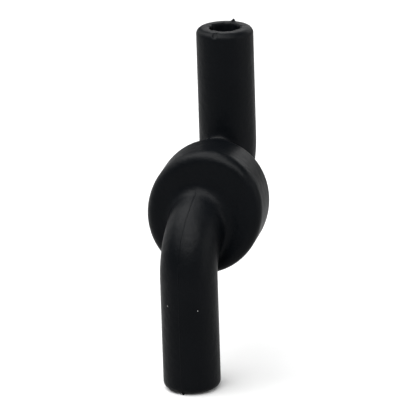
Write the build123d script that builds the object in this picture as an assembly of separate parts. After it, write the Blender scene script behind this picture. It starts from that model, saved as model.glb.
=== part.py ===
from build123d import *

import os

# An in-line vibration dampener for a small air line, in millimetres.
# The origin is the centre of the drum. +Z points up along the upper tube,
# the lower tube leaves the front of the drum (-Y) and the upper one the back.

# Hose sockets and elbows
TUBE_OD = 13.0
BORE_D = 7.0
TUBE_OFFSET = 13.1  # from the drum's centre to each tube's axis
TUBE_END = 38.5  # from the drum's centre to each open end
BEND_R = 12.9
RIM_FILLET = 1.1

# Drum of the rubber jacket
DRUM_W = 26.5  # across the oval's short axis
DRUM_H = 30.0  # along its long axis
DRUM_LEAN = 34.0  # degrees from +Z towards +X that the long axis leans
DRUM_T = 12.7
DRUM_SKEW = 0.2  # sideways step of the wall for each step from back to front
DRUM_FILLET = 1.6

# Sealed capsule inside the drum
CAPSULE_D = 19.4
CAPSULE_T = 10.4
WALL = 1.0
SPIGOT_ID = 5.0
SPIGOT_END = 6.3  # from the drum's centre to each spigot's tip
JOINT_Y = 2.3  # where the cup's rim meets the gasket
GASKET_T = 0.5
SEAT_OD = 8.0
SEAT_H = 0.6

# Sprung plate and its guide
PLATE_D = 13.0
PLATE_Y = -2.9
PLATE_T = 1.0
STEM_D = 3.2
STEM_END = 3.4
STEM_BORE = 1.4
JET_D = 2.0
JET_T = 1.6
JET_BORE = 0.6
FACING_T = 0.6
SPIDER_Y = 3.0
SPIDER_T = 1.2
HUB_D = 7.0
HUB_Y = 2.2
HUB_CLEARANCE = 0.06
SPRING_WIRE = 0.5
SPRING_D = 5.2
SPRING_TURNS = 3.5
STRAINER_T = 0.4
STRAINER_Y = 5.6


def along_y(diameter, start, end):
    """Return a round bar on the drum's axis from one depth to another."""
    bar = Cylinder(diameter / 2, end - start)
    return Pos(0, (start + end) / 2, 0) * Rot(90, 0, 0) * bar


def ring(outer, inner, start, end):
    """Return a round washer or sleeve on the drum's axis."""
    return along_y(outer, start, end) - along_y(inner, start - 1, end + 1)


def elbow(diameter, side):
    """Return the swept tube of one side, from the drum's centre to its open end.

    side is -1 for the front and lower tube, +1 for the back and upper one.
    """
    corner_y = side * TUBE_OFFSET
    path = FilletPolyline(
        (0, 0, 0),
        (0, corner_y, 0),
        (0, corner_y, side * TUBE_END),
        radius=BEND_R,
    )
    start = Plane(origin=(0, 0, 0), z_dir=(0, side, 0))
    return sweep(start * Circle(diameter / 2), path=path)


def make_rubber_body():
    """Return the whole moulded jacket: drum, two elbows and two hose sockets."""
    corner = (-DRUM_SKEW * DRUM_T / 2, DRUM_T / 2, 0)
    back = Plane(origin=corner, x_dir=(1, 0, 0), z_dir=(0, -1, 0))
    profile = back * Rot(0, 0, -DRUM_LEAN) * Ellipse(DRUM_W / 2, DRUM_H / 2)
    slant = Vector(DRUM_SKEW, -1, 0)
    drum = extrude(profile, amount=DRUM_T * slant.length, dir=slant.normalized())
    drum = fillet(drum.edges(), DRUM_FILLET)
    body = drum
    for side in (-1, 1):
        tube = elbow(TUBE_OD, side)
        rim = tube.edges().group_by(Axis.Z)[0 if side < 0 else -1]
        tube = fillet(rim, RIM_FILLET)
        body = body + tube
    body = body - along_y(CAPSULE_D, -CAPSULE_T / 2, CAPSULE_T / 2)
    body = body - along_y(BORE_D, -SPIGOT_END, SPIGOT_END)
    for side in (-1, 1):
        body = body - elbow(BORE_D, side)
    return body


def make_inlet_housing():
    """Return the cup of the capsule, with its spigot and the raised seat."""
    front = -CAPSULE_T / 2
    inside = front + WALL
    wall = ring(CAPSULE_D, CAPSULE_D - 2 * WALL, inside, JOINT_Y)
    floor = along_y(CAPSULE_D, front, inside)
    seat = along_y(SEAT_OD, inside, inside + SEAT_H)
    spigot = along_y(BORE_D, -SPIGOT_END, front)
    cup = wall + floor + seat + spigot
    return cup - along_y(SPIGOT_ID, -SPIGOT_END - 1, inside + SEAT_H + 1)


def make_outlet_housing():
    """Return the lid of the capsule, with its skirt and spigot."""
    back = CAPSULE_T / 2
    inside = back - WALL
    skirt = ring(CAPSULE_D, CAPSULE_D - 2 * WALL, JOINT_Y + GASKET_T, inside)
    end = along_y(CAPSULE_D, inside, back)
    spigot = along_y(BORE_D, back, SPIGOT_END)
    lid = skirt + end + spigot
    return lid - along_y(SPIGOT_ID, inside - 1, SPIGOT_END + 1)


def make_housing_seal():
    """Return the flat gasket between the cup and the lid."""
    return ring(CAPSULE_D - 0.2, CAPSULE_D - 2 * WALL + 0.1, JOINT_Y, JOINT_Y + GASKET_T)


def make_damper_plate():
    """Return the moving plate with its hollow guide stem."""
    back = PLATE_Y + PLATE_T
    plate = along_y(PLATE_D, PLATE_Y, back) + along_y(STEM_D, back, STEM_END)
    plate = plate - along_y(STEM_BORE, PLATE_Y - 1, STEM_END + 1)
    return plate - along_y(JET_D, PLATE_Y - 1, PLATE_Y + JET_T)


def make_plate_seal():
    """Return the soft facing ring that closes on the seat."""
    return ring(SEAT_OD + 0.6, SPIGOT_ID - 0.6, PLATE_Y - FACING_T, PLATE_Y)


def make_bleed_orifice():
    """Return the small jet in the middle of the plate."""
    return ring(JET_D, JET_BORE, PLATE_Y, PLATE_Y + JET_T)


def make_damper_spring():
    """Return the coil spring between the plate and the guide's hub."""
    start = PLATE_Y + PLATE_T + SPRING_WIRE / 2
    length = HUB_Y - SPRING_WIRE / 2 - start
    helix = Helix(
        pitch=length / SPRING_TURNS,
        height=length,
        radius=SPRING_D / 2,
        center=(0, start, 0),
        direction=(0, 1, 0),
    )
    section = Plane(origin=helix @ 0, z_dir=helix % 0) * Circle(SPRING_WIRE / 2 - 0.02)
    return sweep(section, path=helix, is_frenet=True)


def make_guide_spider():
    """Return the three-armed guide that holds the plate's stem."""
    outer = CAPSULE_D - 2 * WALL - 0.04
    spider = ring(outer, outer - 2.2, SPIDER_Y, SPIDER_Y + SPIDER_T)
    arm_length = outer / 2 - 1.0
    for turn in (90, 210, 330):
        arm = Pos(arm_length / 2, SPIDER_Y + SPIDER_T / 2, 0) * Box(arm_length, SPIDER_T, 1.6)
        spider = spider + Rot(0, turn, 0) * arm
    spider = spider + along_y(HUB_D, HUB_Y, SPIDER_Y + SPIDER_T)
    return spider - along_y(STEM_D + 2 * HUB_CLEARANCE, HUB_Y - 1, SPIDER_Y + SPIDER_T + 1)


def make_strainer(side):
    """Return the perforated disc in one spigot's mouth."""
    near = side * STRAINER_Y
    low = min(near, near + side * STRAINER_T)
    disc = along_y(SPIGOT_ID, low, low + STRAINER_T)
    hole = along_y(0.8, low - 1, low + STRAINER_T + 1)
    disc = disc - hole
    for k in range(6):
        disc = disc - Rot(0, 60 * k, 0) * Pos(1.45, 0, 0) * hole
    return disc


NODES = {
    "rubber_body": make_rubber_body(),
    "inlet_housing": make_inlet_housing(),
    "outlet_housing": make_outlet_housing(),
    "housing_seal": make_housing_seal(),
    "damper_plate": make_damper_plate(),
    "plate_seal": make_plate_seal(),
    "bleed_orifice": make_bleed_orifice(),
    "damper_spring": make_damper_spring(),
    "guide_spider": make_guide_spider(),
    "inlet_strainer": make_strainer(-1),
    "outlet_strainer": make_strainer(1),
}

os.makedirs("parts", exist_ok=True)
for name, shape in NODES.items():
    export_step(shape, f"parts/{name}.step")
    box = shape.bounding_box()
    print(name, round(shape.volume, 2), box.min, box.max, shape.is_valid)
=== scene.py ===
"""Looks of the in-line vibration dampener: rubber jacket, capsule, sprung plate, floor, light and camera."""

import logging
import math
from dataclasses import dataclass, field
from enum import Enum

import bmesh
import bpy
import numpy as np
from mathutils import Matrix, Vector

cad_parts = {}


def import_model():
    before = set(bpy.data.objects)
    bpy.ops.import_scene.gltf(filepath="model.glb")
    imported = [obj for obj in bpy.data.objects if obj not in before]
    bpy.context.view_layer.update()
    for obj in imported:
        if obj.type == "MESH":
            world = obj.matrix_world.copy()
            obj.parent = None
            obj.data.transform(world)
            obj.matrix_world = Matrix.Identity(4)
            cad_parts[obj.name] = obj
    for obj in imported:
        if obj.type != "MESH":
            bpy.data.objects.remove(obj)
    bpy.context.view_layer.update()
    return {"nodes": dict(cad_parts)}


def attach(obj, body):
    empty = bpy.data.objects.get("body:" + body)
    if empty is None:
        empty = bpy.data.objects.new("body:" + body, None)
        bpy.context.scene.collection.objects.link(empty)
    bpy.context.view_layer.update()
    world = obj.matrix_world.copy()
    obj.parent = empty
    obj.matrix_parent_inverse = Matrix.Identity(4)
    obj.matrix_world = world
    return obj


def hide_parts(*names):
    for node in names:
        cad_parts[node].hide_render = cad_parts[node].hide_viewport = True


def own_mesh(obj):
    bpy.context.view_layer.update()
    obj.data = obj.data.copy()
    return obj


MM = 0.001
LOG = logging.getLogger("dampener")

Point = tuple[float, float, float]


class Finish(Enum):
    """The finishes of the pieces inside the drum."""

    NYLON = "nylon"
    NITRILE = "nitrile"
    ACETAL = "acetal"
    BRASS = "brass"
    SHEET = "sheet"


def srgb(code: str) -> tuple[float, float, float, float]:
    """Turn an sRGB hex colour into the linear colour that a shader takes.

    Args:
        code: The colour as six hex digits, such as "2b2b2d".

    Returns:
        Linear red, green and blue, with an alpha of 1.
    """
    values = [int(code[i : i + 2], 16) / 255 for i in (0, 2, 4)]
    linear = [v / 12.92 if v <= 0.04045 else ((v + 0.055) / 1.055) ** 2.4 for v in values]
    return (*linear, 1.0)


def add_node(
    tree: bpy.types.NodeTree, kind: str, links: dict | None = None, **settings: object
) -> bpy.types.Node:
    """Add one shader node with its settings, socket values and incoming links.

    Args:
        tree: The material's node tree.
        kind: The node's type name in Blender, such as "ShaderNodeMath".
        links: Socket name or number to the output socket or the constant that goes into it.
        settings: Properties of the node itself, such as operation="ADD".

    Returns:
        The new node.
    """
    node = tree.nodes.new(kind)
    for name, value in settings.items():
        setattr(node, name, value)
    for key, value in (links or {}).items():
        socket = node.inputs[key]
        if isinstance(value, bpy.types.NodeSocket):
            tree.links.new(value, socket)
        else:
            socket.default_value = value
    return node


def new_material(name: str) -> tuple[bpy.types.Material, bpy.types.NodeTree, bpy.types.Node]:
    """Start a node material.

    Args:
        name: The material's name.

    Returns:
        The material, its node tree and its Principled shader.
    """
    material = bpy.data.materials.new(name)
    material.use_nodes = True
    tree = material.node_tree
    return material, tree, tree.nodes["Principled BSDF"]


def add_piece(name: str, mesh: bpy.types.Mesh, finish: bpy.types.Material) -> bpy.types.Object:
    """Link a smooth mesh to the scene as an object at the origin, in one finish.

    Args:
        name: The object's name.
        mesh: Its mesh, in metres.
        finish: Its material.

    Returns:
        The object.
    """
    mesh.polygons.foreach_set("use_smooth", np.ones(len(mesh.polygons), bool))
    mesh.materials.clear()
    mesh.materials.append(finish)
    mesh.update()
    piece = bpy.data.objects.new(name, mesh)
    bpy.context.scene.collection.objects.link(piece)
    LOG.info("%s: %d vertices", name, len(mesh.vertices))
    return piece


def closed_tube(name: str, rings: np.ndarray) -> bpy.types.Mesh:
    """Make a tube mesh from rings of points, with a face over each end and every face turned outwards.

    The sum over the faces of a corner times the cross product of two edges is six times the enclosed
    volume, and it is below zero where the faces point inwards.

    Args:
        name: The mesh's name.
        rings: An array of rings by points by 3, in metres.

    Returns:
        The mesh.
    """
    index = np.arange(rings.shape[0] * rings.shape[1]).reshape(rings.shape[:2])
    beside = np.roll(index, -1, axis=1)
    quads = np.stack([index[:-1], beside[:-1], beside[1:], index[1:]], axis=-1).reshape(-1, 4)
    corner = rings.reshape(-1, 3)
    first, second, third = (corner[quads[:, i]] for i in range(3))
    volume = (first * np.cross(second - first, third - first)).sum()
    faces = [*quads.tolist(), index[0, ::-1].tolist(), index[-1].tolist()]
    if volume < 0:
        faces = [face[::-1] for face in faces]
    mesh = bpy.data.meshes.new(name)
    mesh.from_pydata(corner, [], faces)
    return mesh


@dataclass(frozen=True)
class MouldedRubber:
    """EPDM rubber, compression moulded in a lightly blasted tool, then trimmed at the parting line.

    Carbon black takes nearly all the light that enters, so what the eye sees is a satin gloss that
    rises towards the edges, with a fine grain and a few specks of dust that static holds. The
    tool's grain, taken as about 0.05 mm, is drawn at 0.25 mm so that it shows.

    The base and the specular level are far below rubber's usual values, because the lamps and the
    white room are strong. In another light the jacket may look too dark.
    """

    name: str = "moulded_epdm_rubber"
    base: str = "010203"
    bloom: str = "040507"
    bloom_mm: float = 9.0
    dust: str = "70706e"
    dust_spacing_mm: float = 3.8
    dust_radius_share: float = 0.032
    dusty_share: float = 0.2
    roughness: float = 0.44
    duller: float = 0.06
    glossier: float = 0.04
    ior: float = 1.52
    specular: float = 0.045
    swell_mm: float = 1.7
    grain_mm: float = 0.25
    parting_half_mm: float = 0.18
    line_from_mm: float = 6.6
    line_fade_mm: float = 0.8
    swell_bump: tuple[float, float] = (0.6, 0.2)
    parting_bump: tuple[float, float] = (0.8, 0.08)
    grain_bump: tuple[float, float] = (0.45, 0.05)

    def specks(self, tree: bpy.types.NodeTree, place: bpy.types.NodeSocket) -> bpy.types.NodeSocket:
        """Where dust shows: a small ball in the middle of some of the cells that fill space.

        Args:
            tree: The material's node tree.
            place: The Object coordinates.

        Returns:
            1 on a speck and 0 elsewhere.
        """
        links = {"Vector": place, "Scale": 1 / (self.dust_spacing_mm * MM)}
        cells = add_node(tree, "ShaderNodeTexVoronoi", links)
        links = {0: cells.outputs["Distance"], 1: self.dust_radius_share}
        near = add_node(tree, "ShaderNodeMath", links, operation="LESS_THAN")
        chance = add_node(tree, "ShaderNodeSeparateColor", {0: cells.outputs["Color"]})
        links = {0: chance.outputs[0], 1: self.dusty_share}
        rare = add_node(tree, "ShaderNodeMath", links, operation="LESS_THAN")
        links = {0: near.outputs[0], 1: rare.outputs[0]}
        return add_node(tree, "ShaderNodeMath", links, operation="MULTIPLY").outputs[0]

    def parting_line(self, tree: bpy.types.NodeTree, place: bpy.types.NodeSocket) -> bpy.types.NodeSocket:
        """The fine raised line at X = 0, where the tool's two halves meet.

        The line is on the tubes only: it fades out where they meet the drum.

        Args:
            tree: The material's node tree.
            place: The Object coordinates.

        Returns:
            The line's height, from 0 to 1.
        """
        apart = add_node(tree, "ShaderNodeSeparateXYZ", {0: place})
        across, outward = (
            add_node(tree, "ShaderNodeMath", {0: apart.outputs[axis]}, operation="ABSOLUTE").outputs[0]
            for axis in ("X", "Y")
        )
        half = self.parting_half_mm * MM
        links = {"Value": across, "From Min": 0.0, "From Max": half, "To Min": 1.0, "To Max": 0.0}
        line = add_node(tree, "ShaderNodeMapRange", links, interpolation_type="SMOOTHSTEP")
        start, full = self.line_from_mm * MM, (self.line_from_mm + self.line_fade_mm) * MM
        links = {"Value": outward, "From Min": start, "From Max": full}
        on_tube = add_node(tree, "ShaderNodeMapRange", links)
        links = {0: line.outputs[0], 1: on_tube.outputs[0]}
        return add_node(tree, "ShaderNodeMath", links, operation="MULTIPLY").outputs[0]

    def relief(self, tree: bpy.types.NodeTree, place: bpy.types.NodeSocket) -> bpy.types.NodeSocket:
        """The bumps: broad swells, then the parting line, then the grain on top.

        Args:
            tree: The material's node tree.
            place: The Object coordinates.

        Returns:
            The bent normal.
        """
        links = {"Vector": place, "Scale": 1 / (self.swell_mm * MM), "Detail": 3.0}
        swell = add_node(tree, "ShaderNodeTexNoise", links).outputs[0]
        links = {"Vector": place, "Scale": 1 / (self.grain_mm * MM), "Detail": 2.0}
        grain = add_node(tree, "ShaderNodeTexNoise", links).outputs[0]
        line = self.parting_line(tree, place)
        below = {}
        for height, (strength, depth_mm) in (
            (swell, self.swell_bump),
            (line, self.parting_bump),
            (grain, self.grain_bump),
        ):
            links = {"Height": height, "Strength": strength, "Distance": depth_mm * MM, **below}
            below = {"Normal": add_node(tree, "ShaderNodeBump", links).outputs[0]}
        return below["Normal"]

    def build(self) -> bpy.types.Material:
        """Make the material.

        Returns:
            A material that reads Object coordinates only.
        """
        material, tree, shader = new_material(self.name)
        place = add_node(tree, "ShaderNodeTexCoord").outputs["Object"]
        links = {"Vector": place, "Scale": 1 / (self.bloom_mm * MM), "Detail": 4.0, "Roughness": 0.6}
        cloud = add_node(tree, "ShaderNodeTexNoise", links).outputs[0]
        links = {0: cloud, 6: srgb(self.base), 7: srgb(self.bloom)}
        tint = add_node(tree, "ShaderNodeMix", links, data_type="RGBA")
        links = {0: self.specks(tree, place), 6: tint.outputs[2], 7: srgb(self.dust)}
        colour = add_node(tree, "ShaderNodeMix", links, data_type="RGBA")
        low, high = self.roughness - self.glossier, self.roughness + self.duller
        links = {"Value": cloud, "From Min": 0.3, "From Max": 0.7, "To Min": low, "To Max": high}
        gloss = add_node(tree, "ShaderNodeMapRange", links)
        tree.links.new(colour.outputs[2], shader.inputs["Base Color"])
        tree.links.new(gloss.outputs[0], shader.inputs["Roughness"])
        tree.links.new(self.relief(tree, place), shader.inputs["Normal"])
        shader.inputs["IOR"].default_value = self.ior
        shader.inputs["Specular IOR Level"].default_value = self.specular
        return material


@dataclass(frozen=True)
class MouldedPlastic:
    """A moulded engineering plastic: matt where the tool was blasted, a touch uneven where it flowed."""

    name: str
    base: str
    flow: str
    roughness: float
    ior: float = 1.5
    flow_mm: float = 4.0
    grain_mm: float = 0.3

    def build(self) -> bpy.types.Material:
        """Make the material with flow marks and a fine tool grain.

        Returns:
            A material that reads Object coordinates only.
        """
        material, tree, shader = new_material(self.name)
        place = add_node(tree, "ShaderNodeTexCoord").outputs["Object"]
        links = {"Vector": place, "Scale": 1 / (self.flow_mm * MM), "Detail": 3.0, "Distortion": 0.8}
        flow = add_node(tree, "ShaderNodeTexNoise", links)
        links = {"Vector": place, "Scale": 1 / (self.grain_mm * MM), "Detail": 2.0}
        grain = add_node(tree, "ShaderNodeTexNoise", links)
        links = {0: flow.outputs[0], 6: srgb(self.base), 7: srgb(self.flow)}
        tint = add_node(tree, "ShaderNodeMix", links, data_type="RGBA")
        links = {"Height": grain.outputs[0], "Strength": 0.2, "Distance": 0.02 * MM}
        bump = add_node(tree, "ShaderNodeBump", links)
        tree.links.new(tint.outputs[2], shader.inputs["Base Color"])
        tree.links.new(bump.outputs[0], shader.inputs["Normal"])
        shader.inputs["Roughness"].default_value = self.roughness
        shader.inputs["IOR"].default_value = self.ior
        return material


@dataclass(frozen=True)
class DrawnMetal:
    """A turned, drawn or punched metal, with fine marks in rings round the Y axis.

    The marks come round about three times in the length that mark_mm gives. A flat face across Y
    has no rings, and shows the patina.
    """

    name: str
    base: str
    shade: str
    roughness: float
    mark_mm: float = 0.72
    patina_mm: float = 1.2

    def build(self) -> bpy.types.Material:
        """Make the metal with its tool marks round the Y axis.

        Returns:
            A material that reads Object coordinates only.
        """
        material, tree, shader = new_material(self.name)
        place = add_node(tree, "ShaderNodeTexCoord").outputs["Object"]
        links = {"Vector": place, "Scale": 1 / (self.mark_mm * MM), "Distortion": 1.5}
        marks = add_node(tree, "ShaderNodeTexWave", links, bands_direction="Y")
        links = {"Vector": place, "Scale": 1 / (self.patina_mm * MM), "Detail": 3.0}
        patina = add_node(tree, "ShaderNodeTexNoise", links)
        links = {0: patina.outputs[0], 6: srgb(self.base), 7: srgb(self.shade)}
        tint = add_node(tree, "ShaderNodeMix", links, data_type="RGBA")
        links = {"Height": marks.outputs["Fac"], "Strength": 0.15, "Distance": 0.01 * MM}
        bump = add_node(tree, "ShaderNodeBump", links)
        tree.links.new(tint.outputs[2], shader.inputs["Base Color"])
        tree.links.new(bump.outputs[0], shader.inputs["Normal"])
        shader.inputs["Metallic"].default_value = 1.0
        shader.inputs["Roughness"].default_value = self.roughness
        return material


def inner_finishes() -> dict[Finish, bpy.types.Material]:
    """Make the materials of the pieces inside the drum.

    Returns:
        Each finish's material.
    """
    makers = {
        # Black with a satin skin, a little greyer where the glass lies near it
        Finish.NYLON: MouldedPlastic("glass_filled_nylon", "232325", "2c2c2e", 0.5),
        # Dull black with hardly any gloss
        Finish.NITRILE: MouldedPlastic("nitrile_rubber", "1c1c1d", "232324", 0.6, 1.52),
        # Milky white and slightly waxy
        Finish.ACETAL: MouldedPlastic("natural_acetal", "e6e5df", "d9d8d1", 0.38, 1.48),
        # Warm yellow, bright between the rings that the lathe leaves
        Finish.BRASS: DrawnMetal("turned_brass", "d1ab5f", "b18a45", 0.25),
        # Cool grey, a little uneven from place to place
        Finish.SHEET: DrawnMetal("punched_stainless_sheet", "b4b4b2", "8b8b89", 0.32),
    }
    return {finish: maker.build() for finish, maker in makers.items()}


@dataclass
class RubberJacket:
    """The one-piece moulded jacket: a drum with an S-bent tube through it. Sizes are in millimetres.

    Its skin is where a distance function is zero. The function is the drum joined to the tube with
    a soft blend, less the bore and the capsule's pocket.
    """

    tube_radius: float = 6.5
    bore_radius: float = 3.5
    offset: float = 13.1
    end: float = 38.5
    bend_radius: float = 12.9
    rim_fillet: float = 1.4
    bore_edge: float = 0.35
    root_blend: float = 2.2
    drum_short_radius: float = 13.35
    drum_long_radius: float = 15.2
    drum_lean_degrees: float = 34.0
    drum_half_thickness: float = 6.35
    drum_skew: float = 0.175
    drum_fillet: float = 2.5
    capsule_radius: float = 9.7
    capsule_half: float = 5.2
    capsule_fillet: float = 0.3
    nick_radii: Point = (0.75, 1.3, 1.3)
    nick_inset: float = 0.1
    nick_edge: float = 0.15
    nib_radii: Point = (0.42, 0.55, 0.95)
    nib_inset: float = 0.9
    nib_sunk: float = 0.45
    crown_nib: Point = (-1.5, 5.05, 13.9)
    crown_nib_radii: Point = (0.45, 0.45, 0.8)
    tear: float = 0.11
    tear_depth: float = 1.5
    grid: float = 0.34
    weld: float = 0.001
    settle_rounds: int = 6
    settle_stride: float = 0.3
    slope_step: float = 0.02
    flattest_slope: float = 0.2

    @staticmethod
    def soft_min(a: np.ndarray, b: np.ndarray, width: float) -> np.ndarray:
        """The smaller of two distances, rounded off by a parabola where they are within width."""
        h = np.clip(0.5 + 0.5 * (b - a) / width, 0, 1)
        return b * (1 - h) + a * h - width * h * (1 - h)

    @staticmethod
    def rounded(radial: np.ndarray, along: np.ndarray, fillet: float) -> np.ndarray:
        """Distance to a capped bar with a rounded rim, from its radial and lengthwise overhangs.

        Args:
            radial: Distance outside the bar's wall, less than zero inside it.
            along: Distance beyond the bar's end face.
            fillet: The rim's radius.

        Returns:
            The length of the positive parts of both, grown by the fillet, less the fillet.
        """
        u, v = radial + fillet, along + fillet
        outside = np.hypot(np.maximum(u, 0), np.maximum(v, 0))
        return outside + np.minimum(np.maximum(u, v), 0) - fillet

    @staticmethod
    def egg(p: np.ndarray, centre: Point, radii: Point) -> np.ndarray:
        """Distance to an egg: how far the point is in radii, less one, times the smallest radius."""
        share = np.linalg.norm((p - np.array(centre)) / np.array(radii), axis=1)
        return (share - 1) * min(radii)

    def off_path(self, x: np.ndarray, y: np.ndarray, z: np.ndarray) -> np.ndarray:
        """Distance from the lower tube's centre line: a quarter circle and then a straight line down.

        Args:
            x: Places across the bends' plane, in millimetres.
            y: Places along the drum's axis.
            z: Heights.

        Returns:
            How far each point is from the line.
        """
        start = -(self.offset - self.bend_radius)
        bend = np.hypot(x, np.hypot(y - start, z + self.bend_radius) - self.bend_radius)
        straight = np.hypot(x, y + self.offset)
        inside = np.sqrt(x**2 + (y - start) ** 2 + z**2)
        return np.where(z < -self.bend_radius, straight, np.where(y < start, bend, inside))

    def tube(self, p: np.ndarray) -> np.ndarray:
        """Distance to the tube's outside, both halves, with its rounded ends.

        Args:
            p: Points as rows of x, y and z, in millimetres.

        Returns:
            How far each point is outside the tube, less than zero inside it.
        """
        halves = []
        for turn in (1, -1):
            x, y, z = p[:, 0], turn * p[:, 1], turn * p[:, 2]
            wall = self.off_path(x, y, z) - self.tube_radius
            halves.append(self.rounded(wall, -z - self.end, self.rim_fillet))
        return np.minimum(*halves)

    def torn_edge(self, p: np.ndarray) -> np.ndarray:
        """How far the torn mouth of the upper bore stands back: three waves round it that fade with depth.

        Args:
            p: Points as rows of x, y and z, in millimetres.

        Returns:
            How much the bore's radius grows at each point.
        """
        x, y, z = p.T
        turn = np.arctan2(y - self.offset, x)
        waves = np.sin(5 * turn + 0.4) + np.sin(9 * turn + 1.9) + 0.8 * np.sin(14 * turn)
        return self.tear * waves * np.clip((z - self.end + self.tear_depth) / self.tear_depth, 0, 1)

    def hollow(self, p: np.ndarray) -> np.ndarray:
        """Distance to the space inside: the bore along the path and the capsule's pocket.

        Args:
            p: Points as rows of x, y and z, in millimetres.

        Returns:
            How far each point is outside that space, less than zero inside it.
        """
        x, y, z = p.T
        path = np.minimum(self.off_path(x, y, z), self.off_path(x, -y, -z))
        bore = path - self.bore_radius - self.torn_edge(p)
        radial, along = np.hypot(x, z) - self.capsule_radius, np.abs(y) - self.capsule_half
        return np.minimum(bore, self.rounded(radial, along, self.capsule_fillet))

    def drum(self, p: np.ndarray) -> np.ndarray:
        """Distance to the drum: a leaning oval carried along Y with a sideways skew, its edges rounded.

        Args:
            p: Points as rows of x, y and z, in millimetres.

        Returns:
            How far each point is outside the drum, less than zero inside it.
        """
        x, y, z = p.T
        lean = math.radians(self.drum_lean_degrees)
        x = x + self.drum_skew * y
        short = x * math.cos(lean) - z * math.sin(lean)
        long = x * math.sin(lean) + z * math.cos(lean)
        k = np.hypot(short / self.drum_short_radius, long / self.drum_long_radius)
        radial = np.hypot(x, z) * (1 - 1 / np.maximum(k, 0.05))
        return self.rounded(radial, np.abs(y) - self.drum_half_thickness, self.drum_fillet)

    def nick(self, p: np.ndarray) -> np.ndarray:
        """Distance to the narrow nick where flash was torn off the upper rim's front."""
        centre = (0.0, self.offset - self.tube_radius - self.nick_inset, self.end + self.nick_inset)
        return self.egg(p, centre, self.nick_radii)

    def nib_eggs(self) -> list[tuple[Point, Point]]:
        """Where the torn scraps of flash are.

        Returns:
            The centre and radii of those at the upper rim's back, the lower rim's front and the crown.
        """
        rim = self.offset + self.tube_radius - self.nib_inset
        sunk = self.end - self.nib_sunk
        ends = [((0.0, side * rim, side * sunk), self.nib_radii) for side in (1, -1)]
        return [*ends, (self.crown_nib, self.crown_nib_radii)]

    def skin(self, p: np.ndarray) -> np.ndarray:
        """Distance to the jacket's skin: drum, tube and scraps of flash, less the hollow and the nick.

        Args:
            p: Points as rows of x, y and z, in millimetres.

        Returns:
            How far each point is outside the rubber, less than zero inside it.
        """
        solid = self.soft_min(self.drum(p), self.tube(p), self.root_blend)
        nibs = np.minimum.reduce([self.egg(p, centre, radii) for centre, radii in self.nib_eggs()])
        solid = np.minimum(solid, nibs)
        solid = -self.soft_min(-solid, self.nick(p), self.nick_edge)
        return -self.soft_min(-solid, self.hollow(p), self.bore_edge)

    def settle(self, p: np.ndarray) -> np.ndarray:
        """Move points onto the skin: each round steps back along the slope by distance over slope.

        Args:
            p: Points near the skin, in millimetres.

        Returns:
            The points on the skin.
        """
        step = self.slope_step
        for _ in range(self.settle_rounds):
            value = np.clip(self.skin(p), -self.settle_stride, self.settle_stride)
            ahead_behind = [(self.skin(p + d), self.skin(p - d)) for d in np.eye(3) * step]
            slope = np.stack([(ahead - behind) / (2 * step) for ahead, behind in ahead_behind], axis=1)
            steepness = np.maximum((slope**2).sum(1), self.flattest_slope)
            p = p - value[:, None] * slope / steepness[:, None]
        return p

    def even_mesh(self, rough: bpy.types.Mesh) -> bpy.types.Mesh:
        """Add the scraps of flash to the rough solid and cover it with an even mesh.

        Args:
            rough: The plain solid's mesh, as loose triangles.

        Returns:
            A closed mesh of squares about one grid step wide.
        """
        shape = bmesh.new()
        shape.from_mesh(rough)
        for centre, radii in self.nib_eggs():
            stretch = Matrix.Diagonal((*[r * MM for r in radii], 1.0))
            place = Matrix.Translation(Vector(centre) * MM) @ stretch
            bmesh.ops.create_icosphere(shape, subdivisions=2, radius=1.0, matrix=place)
        copy = rough.copy()
        shape.to_mesh(copy)
        shape.free()
        source = bpy.data.objects.new("rough_copy", copy)
        bpy.context.scene.collection.objects.link(source)
        weld = source.modifiers.new("weld", "WELD")
        weld.merge_threshold = self.weld * MM
        even = source.modifiers.new("even", "REMESH")
        even.mode = "VOXEL"
        even.voxel_size = self.grid * MM
        evaluated = source.evaluated_get(bpy.context.evaluated_depsgraph_get())
        mesh = bpy.data.meshes.new_from_object(evaluated)
        bpy.data.objects.remove(source)
        return mesh

    def build(self, rough: bpy.types.Object, finish: bpy.types.Material) -> bpy.types.Object:
        """Make the jacket from an even mesh over the rough solid, settled onto the exact skin.

        Args:
            rough: The plain solid of the jacket.
            finish: The rubber.

        Returns:
            The jacket, riding on its body in place of the plain solid.
        """
        mesh = self.even_mesh(rough.data)
        points = np.empty(len(mesh.vertices) * 3)
        mesh.vertices.foreach_get("co", points)
        points = self.settle(points.reshape(-1, 3) / MM) * MM
        mesh.vertices.foreach_set("co", points.ravel())
        piece = add_piece("moulded_jacket", mesh, finish)
        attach(piece, "jacket")
        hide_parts("rubber_body")
        return piece


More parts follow.
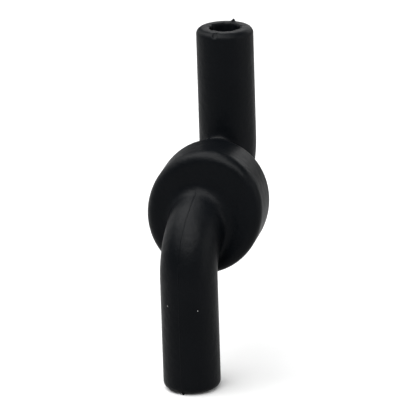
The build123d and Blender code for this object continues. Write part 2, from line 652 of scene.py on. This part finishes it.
@dataclass
class CoilSpring:
    """The plate's spring: round wire wound with a closed turn at each end. Sizes are in millimetres."""

    wire_radius: float = 0.23
    coil_radius: float = 2.6
    start: float = -1.9
    end: float = 2.2
    open_turns: float = 3.0
    closed_turns: float = 1.0
    travel: float = 1.5
    steps: int = 420
    sides: int = 14
    tip_sharpness: float = 400.0
    tip_floor: float = 1e-4

    def height(self, turn: np.ndarray) -> np.ndarray:
        """Depth of the wire's centre after some turns: flat ends joined by an even climb.

        Args:
            turn: How many turns from the start, as an array.

        Returns:
            The depth along Y, in millimetres.
        """
        turns = self.open_turns + 2 * self.closed_turns
        low, high = self.start + self.wire_radius, self.end - self.wire_radius
        dead = self.closed_turns * 2 * self.wire_radius
        at = [0, self.closed_turns, turns - self.closed_turns, turns]
        return low + np.interp(turn, at, [0, dead, high - low - dead, high - low])

    def build(self, finish: bpy.types.Material) -> bpy.types.Object:
        """Make the coil: a circle carried along the helix, drawn in to a point at both ends.

        Args:
            finish: The wire's metal.

        Returns:
            The spring, which rides on the jacket's body.
        """
        share = np.linspace(0, 1, self.steps)
        turns = share * (self.open_turns + 2 * self.closed_turns)
        angle = turns * 2 * math.pi
        flat = np.zeros_like(angle)
        out = np.stack([np.cos(angle), flat, np.sin(angle)], axis=1)
        centre = out * self.coil_radius + np.stack([flat, self.height(turns), flat], axis=1)
        round_wire = np.arange(self.sides) * 2 * math.pi / self.sides
        taper = np.sqrt(np.clip(np.minimum(share, 1 - share) * self.tip_sharpness, self.tip_floor, 1))
        up = np.array([0.0, 1.0, 0.0])
        circle = np.cos(round_wire)[None, :, None] * out[:, None, :] + np.sin(round_wire)[None, :, None] * up
        rings = centre[:, None, :] + self.wire_radius * taper[:, None, None] * circle
        piece = add_piece("spring_coil", closed_tube("spring_coil", rings * MM), finish)
        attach(piece, "jacket")
        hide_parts("damper_spring")
        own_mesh(piece)
        return piece


@dataclass
class Capsule:
    """The sealed capsule inside the drum and the sprung plate in it, dressed as they stand."""

    finishes: dict[Finish, bpy.types.Material] = field(default_factory=dict)

    def dress(self, nodes: dict[str, bpy.types.Object]) -> None:
        """Give each inner piece its material.

        Args:
            nodes: The plain solids by name.
        """
        wanted = {
            "inlet_housing": Finish.NYLON,
            "outlet_housing": Finish.NYLON,
            "housing_seal": Finish.NITRILE,
            "plate_seal": Finish.NITRILE,
            "damper_plate": Finish.ACETAL,
            "guide_spider": Finish.ACETAL,
            "bleed_orifice": Finish.BRASS,
            "inlet_strainer": Finish.SHEET,
            "outlet_strainer": Finish.SHEET,
        }
        for name, finish in wanted.items():
            nodes[name].data.materials.clear()
            nodes[name].data.materials.append(self.finishes[finish])
            LOG.info("%s: dressed in %s", name, finish.value)


@dataclass(frozen=True)
class Softbox:
    """A lit rectangle that faces the part. Lengths are in metres.

    Its radiance is how bright its face is, where 1 is the white behind the part.
    """

    name: str
    place: Point
    size: tuple[float, float]
    radiance: float

    def hang(self) -> None:
        """Add the light. Its power is its face's radiance times its area times pi."""
        lamp = bpy.data.lights.new(self.name, "AREA")
        lamp.shape = "RECTANGLE"
        lamp.size, lamp.size_y = self.size
        lamp.energy = self.radiance * self.size[0] * self.size[1] * math.pi
        holder = bpy.data.objects.new(self.name, lamp)
        bpy.context.scene.collection.objects.link(holder)
        holder.visible_camera = False
        at = Vector(self.place)
        holder.matrix_world = Matrix.Translation(at) @ (-at).to_track_quat("-Z", "Y").to_matrix().to_4x4()


@dataclass
class Studio:
    """Pale floor, soft light and the camera. Lengths are in metres, angles in degrees."""

    azimuth: float = 22.0
    elevation: float = 18.0
    roll: float = 1.8
    distance: float = 1.02
    lens: float = 390.0
    sensor: float = 36.0
    far_clip: float = 20.0
    aim_right_mm: float = -0.1
    aim_up_mm: float = -0.45
    floor_z: float = -0.0389
    floor_half: float = 3.0
    paper: str = "949494"
    paper_roughness: float = 0.9
    dim: str = "404040"
    white: str = "ffffff"
    lamps: tuple[Softbox, ...] = (
        Softbox("overhead_softbox", (-0.35, -0.1, 0.75), (0.8, 0.8), 10.0),
        Softbox("back_softbox", (0.2, 0.95, 0.4), (1.5, 0.45), 3.0),
        Softbox("front_softbox", (0.15, -0.58, 0.7), (0.9, 0.5), 12.0),
        Softbox("left_softbox", (-0.9, 0.35, 0.3), (0.9, 0.6), 1.8),
        Softbox("right_softbox", (0.95, 0.0, 0.25), (0.6, 0.6), 4.5),
        Softbox("right_strip", (0.6, 0.35, 0.25), (0.15, 0.6), 1.2),
    )

    def floor(self) -> None:
        """Lay a sweep of matt paper, far wider than the view."""
        s, z = self.floor_half, self.floor_z
        mesh = bpy.data.meshes.new("floor")
        mesh.from_pydata([(-s, -s, z), (s, -s, z), (s, s, z), (-s, s, z)], [], [(0, 1, 2, 3)])
        plane = bpy.data.objects.new("floor", mesh)
        bpy.context.scene.collection.objects.link(plane)
        # Mid-grey and matt, under lamps strong enough to show it white
        material, _, shader = new_material("grey_paper_sweep")
        shader.inputs["Base Color"].default_value = srgb(self.paper)
        shader.inputs["Roughness"].default_value = self.paper_roughness
        mesh.materials.append(material)

    def light(self) -> None:
        """Hang the softboxes and fill the room: white to the eye and matt surfaces, dim in reflections."""
        world = bpy.data.worlds.new("room")
        world.use_nodes = True
        tree = world.node_tree
        path = add_node(tree, "ShaderNodeLightPath")
        links = {0: path.outputs["Is Camera Ray"], 1: path.outputs["Is Diffuse Ray"]}
        seen = add_node(tree, "ShaderNodeMath", links, operation="MAXIMUM")
        links = {0: seen.outputs[0], 6: srgb(self.dim), 7: srgb(self.white)}
        colour = add_node(tree, "ShaderNodeMix", links, data_type="RGBA")
        tree.links.new(colour.outputs[2], tree.nodes["Background"].inputs[0])
        tree.nodes["Background"].inputs[1].default_value = 1.0
        bpy.context.scene.world = world
        bpy.context.scene.view_settings.view_transform = "Standard"
        for lamp in self.lamps:
            lamp.hang()

    def camera(self) -> None:
        """Stand the camera at the asked angles, looking at the drum's centre."""
        data = bpy.data.cameras.new("camera")
        data.lens = self.lens
        data.sensor_width = self.sensor
        data.clip_end = self.far_clip
        camera = bpy.data.objects.new("camera", data)
        bpy.context.scene.collection.objects.link(camera)
        a, e = math.radians(self.azimuth), math.radians(self.elevation)
        back = Vector((math.sin(a) * math.cos(e), -math.cos(a) * math.cos(e), math.sin(e)))
        turn = (-back).to_track_quat("-Z", "Y").to_matrix().to_4x4()
        turn = turn @ Matrix.Rotation(math.radians(-self.roll), 4, "Z")
        side, up = (turn.to_3x3() @ Vector(axis) for axis in ((1, 0, 0), (0, 1, 0)))
        aim = side * self.aim_right_mm * MM + up * self.aim_up_mm * MM
        camera.matrix_world = Matrix.Translation(back * self.distance + aim) @ turn
        bpy.context.scene.camera = camera


def main() -> None:
    """Build the part and the studio round it."""
    logging.basicConfig(level=logging.INFO, format="%(name)s %(message)s")
    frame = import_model()
    RubberJacket().build(frame["nodes"]["rubber_body"], MouldedRubber().build())
    # Bright grey wire, with fine lines along it from the drawing die
    CoilSpring().build(DrawnMetal("drawn_stainless_wire", "b9b9b7", "8f8f8d", 0.28).build())
    Capsule(inner_finishes()).dress(frame["nodes"])
    studio = Studio()
    studio.floor()
    studio.light()
    studio.camera()


if __name__ == "__main__":
    main()
